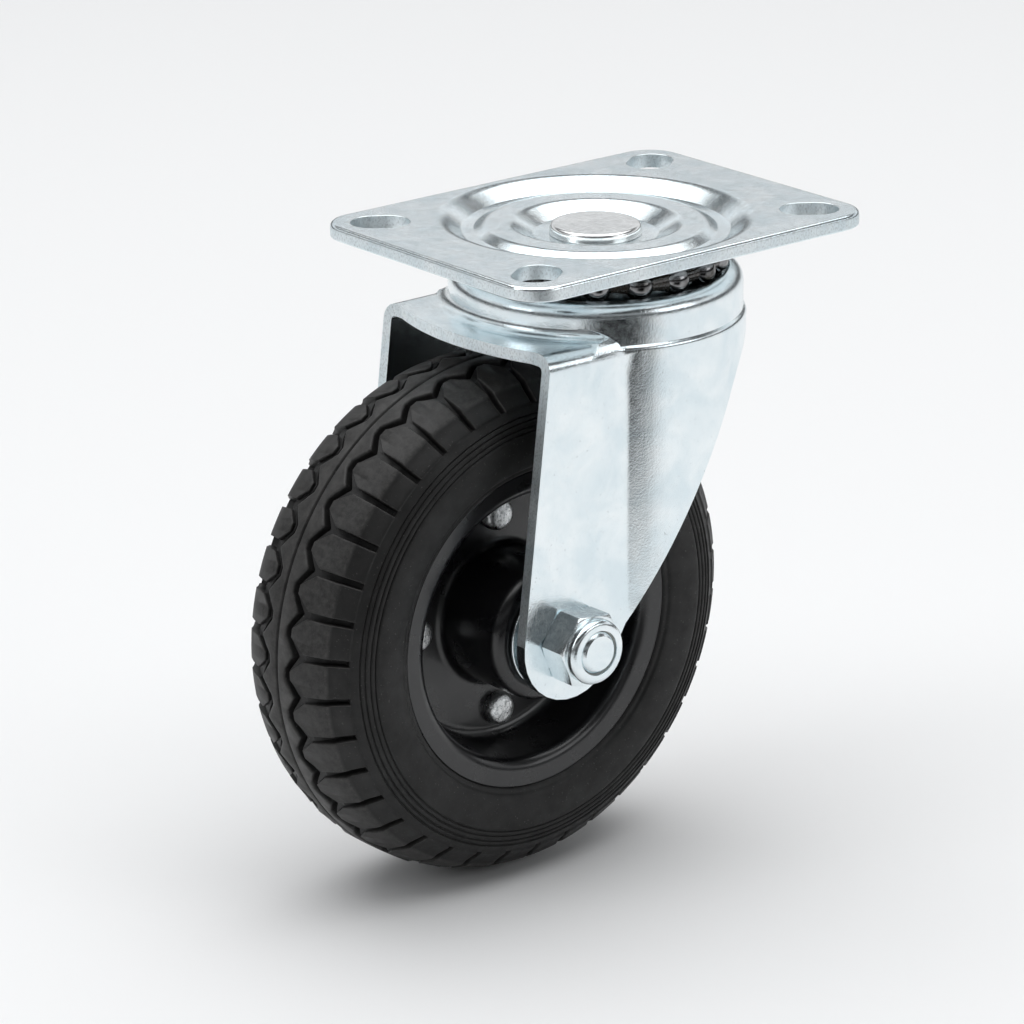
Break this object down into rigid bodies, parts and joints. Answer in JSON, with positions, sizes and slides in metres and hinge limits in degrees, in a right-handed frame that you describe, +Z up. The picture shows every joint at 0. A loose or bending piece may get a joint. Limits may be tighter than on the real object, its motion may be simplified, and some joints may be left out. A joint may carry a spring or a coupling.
{
  "type": "swivel castor",
  "caption": "Swivel castor with a pressed top plate, a double ball race and a 100 mm solid rubber wheel on a pressed rim.",
  "frame": {"origin": "centre of the mounting plate's top face, on the swivel axis", "axes": "+Z up out of the plate's top face, +X towards the front of the fork with the wheel trailing towards -X, +Y towards the axle bolt's head, so the lock nut is at -Y"},
  "size_m": [0.1187, 0.064, 0.1218],
  "materials": {
    "zinc": "bright zinc plating on pressed steel",
    "steel": "plain ground steel with a film of grease",
    "black_paint": "gloss black paint on pressed steel",
    "rubber": "moulded black rubber, matt",
    "nylon": "white nylon"
  },
  "bodies": {
    "plate": {"top_plate": "zinc", "kingpin": "steel", "lower_race": "steel"},
    "upper_ring": {"upper_balls": "steel"},
    "lower_ring": {"lower_balls": "steel"},
    "fork": {"fork": "zinc", "axle_bolt": "zinc", "lock_nut": "zinc", "nylon_insert": "nylon", "spacer_near": "zinc", "spacer_far": "zinc", "inner_ring_near": "steel", "inner_ring_far": "steel", "axle_sleeve": "steel"},
    "wheel": {"tyre": "rubber", "rim_near": "black_paint", "rim_far": "black_paint", "rim_rivets": "zinc", "outer_ring_near": "steel", "outer_ring_far": "steel"},
    "near_ring": {"bearing_balls_near": "steel", "cage_near": "steel"},
    "far_ring": {"bearing_balls_far": "steel", "cage_far": "steel"}
  },
  "joints": [
    {"name": "swivel", "type": "hinge", "parent": "plate", "child": "fork", "pos_m": [0, 0, 0], "axis": [0, 0, 1], "continuous": true},
    {"name": "wheel_spin", "type": "hinge", "parent": "fork", "child": "wheel", "pos_m": [-0.0267, 0, -0.0718], "axis": [0, 1, 0], "continuous": true},
    {"name": "upper_roll", "type": "hinge", "parent": "plate", "child": "upper_ring", "pos_m": [0, 0, 0], "axis": [0, 0, 1], "continuous": true},
    {"name": "lower_roll", "type": "hinge", "parent": "plate", "child": "lower_ring", "pos_m": [0, 0, 0], "axis": [0, 0, 1], "continuous": true},
    {"name": "near_roll", "type": "hinge", "parent": "fork", "child": "near_ring", "pos_m": [-0.0267, 0, -0.0718], "axis": [0, 1, 0], "continuous": true},
    {"name": "far_roll", "type": "hinge", "parent": "fork", "child": "far_ring", "pos_m": [-0.0267, 0, -0.0718], "axis": [0, 1, 0], "continuous": true}
  ],
  "couplings": [
    {"joint": "upper_roll", "follows": "swivel", "ratio": 0.5},
    {"joint": "lower_roll", "follows": "swivel", "ratio": 0.5},
    {"joint": "near_roll", "follows": "wheel_spin", "ratio": 0.632},
    {"joint": "far_roll", "follows": "wheel_spin", "ratio": 0.632}
  ]
}
